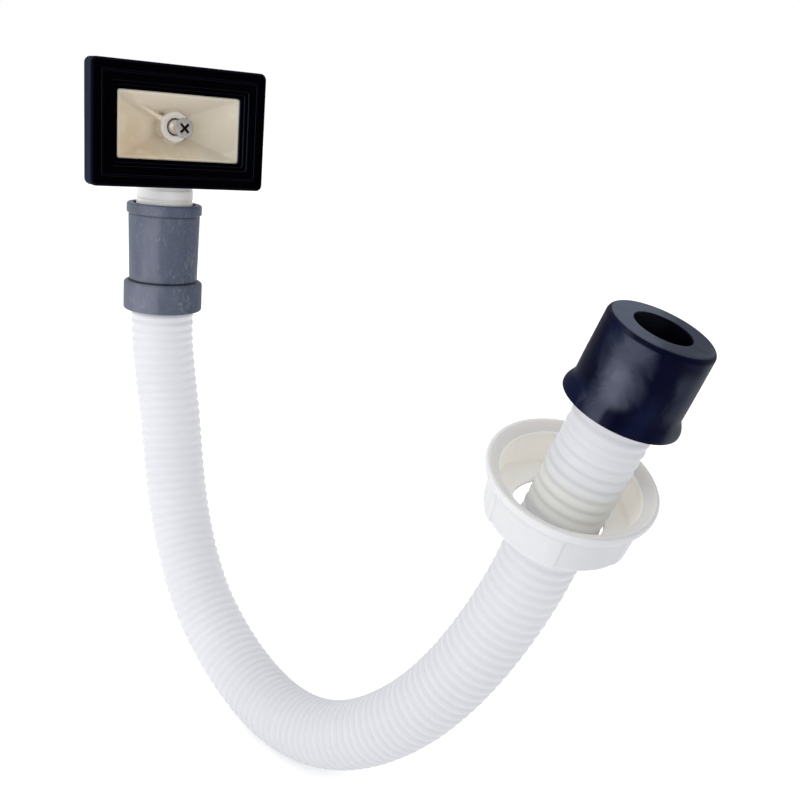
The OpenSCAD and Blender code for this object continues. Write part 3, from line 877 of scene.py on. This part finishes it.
def make_cone():
    """The cone: its top, tip, bore and foot, then its flare as a smooth slope up its side."""
    flare = [(FLARE_D / 2 - (FLARE_D - CONE_D) / 2 * smooth_step(i / FLARE_STEPS),
              FLARE_LOW + (FLARE_H - FLARE_LOW) * i / FLARE_STEPS)
             for i in range(1, FLARE_STEPS + 1)]
    top = rounded([(CONE_D / 2, TAPER_Z, 0), (TIP_D / 2, CONE_LEN, 1.9),
                   (TIP_BORE_R, CONE_LEN, 0.5), (TIP_BORE_R, SOCKET_DEPTH, 0),
                   (SOCKET_R, SOCKET_DEPTH, 0), (SOCKET_R, CONE_FOOT, 0.3),
                   (FLARE_D / 2, CONE_FOOT, 0.9), (FLARE_D / 2, FLARE_LOW + 0.05, 0)], steps=7)
    # The last corner only steers the arc at the foot, and the flare takes its place
    outline = top[:-1] + flare + [(CONE_D / 2, z) for z in CONE_ROWS]
    cone = revolved("cone_moulding", outline, AT_HOSE_END, even_angles(CONE_SIDES))
    return dress(cone, cone_rubber(), "hose_end", ["outlet_cone"])


cone = make_cone()

# ---- the union nut ----

NUT_H, NUT_FLOOR, BAND_LOW, HOLE_R = 18.0, 3.0, 14.0, 15.7
RIM_R, LUG_R, FLAT_R = 28.9, 25.6, 25.0
# How much the flats and the lugs lean out from the foot to the band, how far the flats'
# ends lie inside the lugs, and how much less so at their far end
FLAT_LEAN, LUG_LEAN, END_DROP, END_RISE = 1.9, 1.1, 0.6, 0.3
# Depth of the grip's skin in the outline, and where it blends into the band above it
GRIP_SKIN, BLEND_BELOW, BLEND_H = 2, 2.2, 3.2
THREAD_R, RIDGE, THREAD_PITCH, THREAD_TURNS = 23.9, 1.3, 2.3, 3
# The thread's top, where the bevel leads in, and its bottom
LEAD_Z = 15.8
THREAD_LOW = LEAD_Z - THREAD_TURNS * THREAD_PITCH
# Half a ridge as a share of the pitch, and how the thread fades at its bottom and top
RIDGE_HALF, THREAD_FADE, LEAD_FADE, LEAD_GAP = 0.45, 1.2, 1.0, 0.2
# Heights of the rows of points on the thread and on the grip
THREAD_ROW, GRIP_ROW = 0.23, 0.8
# Where the first lug is, how far the next, and a lug's reach and slope on its two sides
CORNER_TURN, CORNER_STEP = math.radians(46), math.radians(60)
LUG_BEFORE, LUG_AFTER = math.radians(5.5), math.radians(3.6)
EDGE_BEFORE, EDGE_AFTER = math.radians(3), math.radians(0.9)
# Where points lie round the nut, in degrees from each lug: close at the lug, then apart
LUG_DEGREES = (-8.5, -7.5, -6.5, -5.5, -3.5, -1.2, 1.2, 2.8, 3.6, 4.05, 4.5, 5.4)
FLAT_DEGREES = range(8, 50, 3)


def grip_radius(z, a):
    """Outside radius of the grip: six bowed flats that rise to a lug at each corner."""
    past = (a - CORNER_TURN) % CORNER_STEP
    before = CORNER_STEP - past
    lean = z / BAND_LOW
    middle = (FLAT_R + FLAT_LEAN * lean) / math.cos(past - CORNER_STEP / 2)
    flat = min(middle, LUG_R - END_DROP + END_RISE * past / CORNER_STEP + LUG_LEAN * lean)
    lug = max(smooth_step((LUG_AFTER + EDGE_AFTER - past) / EDGE_AFTER),
              smooth_step((LUG_BEFORE + EDGE_BEFORE - before) / EDGE_BEFORE))
    return flat * (1 - lug) + (LUG_R + LUG_LEAN * lean) * lug


def nut_radius(r, z, a):
    """Radius of a point of the nut's outline at an angle."""
    if r > LUG_R - GRIP_SKIN and z < LEAD_Z:
        grip = grip_radius(z, a) - max(0.0, LUG_R - r)
        up = smooth_step((z - BAND_LOW + BLEND_BELOW) / BLEND_H)
        return grip * (1 - up) + r * up
    if abs(r - THREAD_R) < 0.05 and THREAD_LOW - 0.6 < z < LEAD_Z + 0.1:
        phase = (z / THREAD_PITCH - a / TURN) % 1
        ridge = smooth_step(1 - abs(phase - 0.5) / RIDGE_HALF)
        fade = (smooth_step((z - THREAD_LOW) / THREAD_FADE)
                * smooth_step((LEAD_Z - LEAD_GAP - z) / LEAD_FADE))
        return r - RIDGE * ridge * fade
    return r


def nut_angles():
    """Angles round the nut, closest together at the lugs' edges."""
    angles = {round((CORNER_TURN + CORNER_STEP * corner + math.radians(d)) % TURN, 6)
              for corner in range(6) for d in (*LUG_DEGREES, *FLAT_DEGREES)}
    return sorted(angles)


def nut_outline():
    """Section of the nut: up its outside, over its rim, down its thread, along its floor."""
    outer = rounded([(HOLE_R, 0, 0.3), (LUG_R, 0, 0.9), (LUG_R, BAND_LOW - 1.6, 0),
                     (RIM_R - 1.3, BAND_LOW - 0.6, 1.0), (RIM_R, BAND_LOW + 2.1, 2.5),
                     (RIM_R, NUT_H, 0.6), (RIM_R - 1.2, NUT_H, 0.35),
                     (THREAD_R, LEAD_Z, 0.5), (THREAD_R, LEAD_Z - 1, 0)], steps=6)
    # Close rows take the place of the first point above the foot's arc
    grip = [(LUG_R, z) for z in np.arange(1.4, BAND_LOW - 1.8, GRIP_ROW)]
    at = next(i for i, p in enumerate(outer) if abs(p[0] - LUG_R) < TINY and p[1] > 1.3)
    thread = [(THREAD_R, z) for z in np.arange(LEAD_Z - 1.1, NUT_FLOOR + 1, -THREAD_ROW)]
    floor = rounded([(THREAD_R, NUT_FLOOR + 0.9, 0), (THREAD_R - 1.4, NUT_FLOOR, 0.5),
                     (HOLE_R, NUT_FLOOR, 0.4), (HOLE_R, 1, 0)], steps=4)
    return outer[:at] + grip + outer[at + 1:] + thread + floor[:-1]


def line_nut(nut):
    """Gives the nut's inside a brighter, glowing copy of its plastic as painted light, and the
    bevel inside its rim a duller copy as painted shade.
    """
    nut.data.materials.append(NUT_INSIDE_LIT)
    nut.data.materials.append(NUT_BEVEL_SHADED)
    for face in nut.data.polygons:
        middle = face.center / MM
        outward = face.normal.x * middle.x + face.normal.y * middle.y
        if outward < 0 and middle.z > 0.6:
            face.material_index = 1 if middle.z < LEAD_Z else 2
        elif face.normal.z > 0.5 and middle.z < NUT_FLOOR + 1:
            face.material_index = 1


def make_nut():
    """The nut, with its thread and grip."""
    nut = revolved("nut_threaded", nut_outline(), AT_NUT, nut_angles(), nut_radius)
    dress(nut, NUT_WHITE, "nut", ["union_nut"])
    line_nut(nut)
    return nut


nut = make_nut()

# ---- the face seal ----

SEAL_W, SEAL_H, SEAL_R, SEAL_DEPTH = 76.5, 49.5, 2.6, 9.0
# The rounded edge, the land behind the contact plane, and the rib that reaches that plane
SEAL_EDGE, LAND_Y, RIB_INSET, RIB_W, RIB_SLOPE = 1.1, 0.35, 4.1, 0.9, 0.15
# The two steps of the throat
STEP_W, STEP_DEPTH = 1.5, 0.95
MOUTH_W, MOUTH_H, MOUTH_Y = 54.0, 27.0, 3.0
# The pocket that holds the head's flange
FLANGE_Y, FLANGE_BACK, FLANGE_COVER = 3.6, 6.6, 4.2
BACK_RIM = 1.5
# The loops' smallest corner radius, and steps round each corner
LEAST_LOOP_R, CORNER_STEPS = 1.1, 8
# The notch for the neck: a cylinder with a hair-thin hole
NOTCH_R, NOTCH_DEPTH, NOTCH_SIDES, NOTCH_AXIS_R = 11.95, 40, 96, 0.01


def frame_loop(inset, radius):
    """Points of a rounded rectangle, inset from the seal's edge, as (x, z)."""
    half_w, half_h = SEAL_W / 2 - inset, SEAL_H / 2 - inset
    points = []
    for cx, cz, start in ((1, 1, 0), (-1, 1, 90), (-1, -1, 180), (1, -1, 270)):
        for i in range(CORNER_STEPS + 1):
            a = math.radians(start + 90 * i / CORNER_STEPS)
            points.append((cx * (half_w - radius) + radius * math.cos(a),
                           cz * (half_h - radius) + radius * math.sin(a)))
    return points


def swept_frame(name, outline):
    """An outline of (inset, depth, loop radius) carried round the seal's rectangle."""
    verts = []
    for inset, depth, radius in outline:
        verts += [(x * MM, depth * MM, z * MM) for x, z in frame_loop(inset, radius)]
    return add_object(name, verts, grid_faces(len(outline), 4 * (CORNER_STEPS + 1)))


def seal_outline():
    """Section of the seal: land with its rib, stepped throat, flange pocket, back rim."""
    side = (SEAL_W - MOUTH_W) / 2
    first_step, last_step = LAND_Y + STEP_DEPTH, LAND_Y + 2 * STEP_DEPTH
    rib_end = RIB_INSET + (RIB_W - RIB_SLOPE)
    corners = [
        (0, SEAL_DEPTH, 0.7), (0, LAND_Y + SEAL_EDGE, 0.9), (SEAL_EDGE, LAND_Y, 0.9),
        (RIB_INSET, LAND_Y, 0.12), (RIB_INSET + RIB_SLOPE, 0.0, 0.15),
        (rib_end, 0.0, 0.15), (RIB_INSET + RIB_W, LAND_Y, 0.12),
        (side - 2 * STEP_W, LAND_Y, 0.25), (side - 2 * STEP_W, first_step, 0.15),
        (side - STEP_W, first_step, 0.25), (side - STEP_W, last_step, 0.15),
        (side, last_step, 0.25), (side, FLANGE_Y, 0),
        (FLANGE_COVER, FLANGE_Y, 0), (FLANGE_COVER, FLANGE_BACK, 0),
        (FLANGE_COVER + BACK_RIM, FLANGE_BACK, 0.2), (FLANGE_COVER + BACK_RIM, SEAL_DEPTH, 0.4)]
    return [(inset, depth, max(SEAL_R - inset, LEAST_LOOP_R)) for inset, depth in
            rounded(corners, steps=4, support=0.3)]


def make_seal():
    """The seal, with a round notch in its back rim for the neck."""
    seal = swept_frame("seal_moulding", seal_outline())
    section = [(NOTCH_AXIS_R, -NOTCH_DEPTH), (NOTCH_R, -NOTCH_DEPTH), (NOTCH_R, 0),
               (NOTCH_AXIS_R, 0)]
    notch = revolved("notch", section, AT_NECK, even_angles(NOTCH_SIDES))
    cut_away(seal, notch)
    seal.data.shade_smooth()
    dress(seal, black_rubber(), "head", ["face_seal"])


make_seal()

# ---- the overflow head ----

# The remesh's cells, and rounds of smoothing on all edges and in the hopper
HEAD_GRAIN, EDGE_ROUNDS, HOPPER_ROUNDS = 0.36, 3, 60
# What stays as it is inside the hopper: its lip, the boss, and the lower right crease
LIP_DEPTH, BOSS_CLEAR_R, CREASE_HALF = 1.2, 7.2, 2.2


def soften_hopper(head):
    """Rounds the long creases inside the hopper, all but the one at its lower right."""
    count = len(head.data.vertices)
    points, normals = np.empty(3 * count), np.empty(3 * count)
    head.data.vertices.foreach_get("co", points)
    head.data.vertices.foreach_get("normal", normals)
    x, y, z = points.reshape(-1, 3).T / MM
    inside = (y > MOUTH_Y + LIP_DEPTH) & (np.abs(x) < MOUTH_W / 2) & (np.abs(z) < MOUTH_H / 2)
    inward = normals.reshape(-1, 3)[:, 1] < 0.1
    clear = np.hypot(x, z) > BOSS_CLEAR_R
    crease = (x > 0) & (np.abs(z * MOUTH_W + x * MOUTH_H) / MOUTH_W < CREASE_HALF)
    group = head.vertex_groups.new(name="hopper")
    chosen = np.nonzero(inside & inward & clear & ~crease)[0]
    group.add([int(i) for i in chosen], 1.0, "REPLACE")
    smooth_by(head, "relax", HOPPER_ROUNDS, "hopper")
    settle(head)
    head.vertex_groups.clear()


def make_head():
    """The head's solid, its edges softened as a moulding's are."""
    head = new_object("head_moulding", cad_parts["overflow_body"].data.copy())
    remesh = head.modifiers.new("remesh", "REMESH")
    remesh.mode = "VOXEL"
    remesh.voxel_size = HEAD_GRAIN * MM
    smooth_by(head, "smooth", EDGE_ROUNDS)
    settle(head)
    soften_hopper(head)
    head.data.shade_smooth()
    dress(head, cream_plastic(), "head", ["overflow_body"])


make_head()

# ---- the cover screw ----

SCREW_FRONT, SCREW_LEN, SCREW_R, SCREW_HEAD_R = -2.0, 24.0, 3.0, 4.1
# The thread: its pitch and depth, where it begins and ends, and how softly
THREAD_STEP, THREAD_DEPTH = 1.0, 0.36
THREAD_FROM, THREAD_END_GAP, THREAD_SOFT = 5.2, 1, 0.6
SHANK_FROM, SHANK_ROW, TIP_TAPER = 2.9, 0.1, 0.8
# Points round the screw, and the radius of its hair-thin hole
SCREW_SIDES, SCREW_AXIS_R = 56, 0.02
RECESS_HALF, RECESS_WIDTH, RECESS_DEPTH = 2.6, 0.55, 2.0
# Depth and size of the cutting cross at its two ends
RECESS_ENDS = ((-1, 1.12), (RECESS_DEPTH, 0.72))
# Painted shade begins this deep at the head's middle, deeper at its edge, and a ring at the rim
# stays plain steel
SHADE_DEPTH, SHADE_FALL, STEEL_RING = 0.3, 0.55, 0.6
AT_SCREW = moved((0, SCREW_FRONT, 0)) @ Matrix.Rotation(math.radians(-90), 4, "X")


def screw_radius(r, z, a):
    """Thread on the shank, from under the head to the tip."""
    if abs(r - SCREW_R) > TINY:
        return r
    phase = (z / THREAD_STEP - a / TURN) % 1
    fade = (smooth_step((z - THREAD_FROM) / THREAD_SOFT)
            * smooth_step((SCREW_LEN - THREAD_END_GAP - z) / THREAD_SOFT))
    return r - THREAD_DEPTH * (1 - abs(2 * phase - 1)) * fade


def cross_recess():
    """A tapered cross that cuts the recess, as one solid."""
    half, width = RECESS_HALF, RECESS_WIDTH
    outline = [(half, width), (width, width), (width, half), (-width, half),
               (-width, width), (-half, width), (-half, -width), (-width, -width),
               (-width, -half), (width, -half), (width, -width), (half, -width)]
    verts = []
    for z, scale in RECESS_ENDS:
        verts += [(x * scale * MM, y * scale * MM, z * MM) for x, y in outline]
    n = len(outline)
    faces = [tuple(range(n)), tuple(range(2 * n - 1, n - 1, -1))]
    faces += [(i, (i + 1) % n, n + (i + 1) % n, n + i) for i in range(n)]
    tilt = Matrix.Rotation(math.radians(45), 4, "Z")
    return add_object("recess", verts, faces, AT_SCREW @ tilt, smooth=False)


def line_recess(screw):
    """Gives the faces inside the recess painted shade."""
    screw.data.materials.append(dark_recess())
    for face in screw.data.polygons:
        middle = face.center / MM
        off = math.hypot(middle.x, middle.y)
        deep = middle.z > SHADE_DEPTH + SHADE_FALL * (off / SCREW_HEAD_R) ** 2
        if deep and off < SCREW_HEAD_R - STEEL_RING and middle.z < RECESS_DEPTH + 0.1:
            face.material_index = 1


def make_screw():
    """The screw: domed head, thread and cross recess."""
    head = rounded([(SCREW_AXIS_R, 0, 0), (3.2, 0.3, 3), (SCREW_HEAD_R, 0.85, 0.3),
                    (SCREW_HEAD_R, 1.25, 0.3), (SCREW_R, 2.55, 0.2)], steps=4, support=0.2)
    shank = [(SCREW_R, z) for z in np.arange(SHANK_FROM, SCREW_LEN - 0.9, SHANK_ROW)]
    tip = [(SCREW_R - TIP_TAPER, SCREW_LEN), (SCREW_AXIS_R, SCREW_LEN)]
    screw = revolved("screw_threaded", head + shank + tip, AT_SCREW,
                     even_angles(SCREW_SIDES), screw_radius)
    cut_away(screw, cross_recess())
    dress(screw, screw_steel(), "screw", ["cover_screw"])
    line_recess(screw)


make_screw()

# ---- the hidden solids, which keep their shapes ----

for node in ("hose_top_cuff", "hose_end_cuff"):
    dress(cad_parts[node], HOSE_WHITE)
dress(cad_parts["boss_insert"], brass())

# ---- floor, light and backdrop, in metres ----

WHITE = (1, 1, 1)
FLOOR_HALF, FLOOR_COLOR, FLOOR_GLOW = 12, (0.94, 0.94, 0.94), 0.2
WORLD_STRENGTH = 1.0
LIT_PLACE = (0.02, -0.09, -0.11)
# Name, place, size and power in watts of each lamp
LAMPS = (("key_left", (-1.4, -0.25, 0.6), 0.9, 8), ("top_back", (0.3, 0.7, 1.0), 1.0, 2))


def make_floor():
    """A wide pale floor at the height of the lowest point."""
    low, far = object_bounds()[0].z, FLOOR_HALF
    floor = add_object("floor", [(-far, -far, low), (far, -far, low), (far, far, low),
                                 (-far, far, low)], [(0, 1, 2, 3)], smooth=False)
    paint = Paint("floor_white", FLOOR_COLOR, 0.9, specular=0.1)
    paint.glow(WHITE, FLOOR_GLOW)
    floor.data.materials.append(paint.material)


def area_light(name, place, size, watts):
    """A square soft light that faces the object."""
    light = bpy.data.lights.new(name, "AREA")
    light.shape = "SQUARE"
    light.size = size
    light.energy = watts
    lamp = new_object(name, light)
    lamp.location = place
    way = Vector(LIT_PLACE) - Vector(place)
    lamp.rotation_mode = "QUATERNION"
    lamp.rotation_quaternion = way.to_track_quat("-Z", "Y")


def make_light():
    """An even white world and two lamps."""
    world = bpy.data.worlds.new("studio")
    world.use_nodes = True
    background = world.node_tree.nodes["Background"]
    background.inputs["Color"].default_value = (*WHITE, 1)
    background.inputs["Strength"].default_value = WORLD_STRENGTH
    bpy.context.scene.world = world
    for lamp in LAMPS:
        area_light(*lamp)
    bpy.context.scene.view_settings.view_transform = "Standard"


make_floor()
make_light()
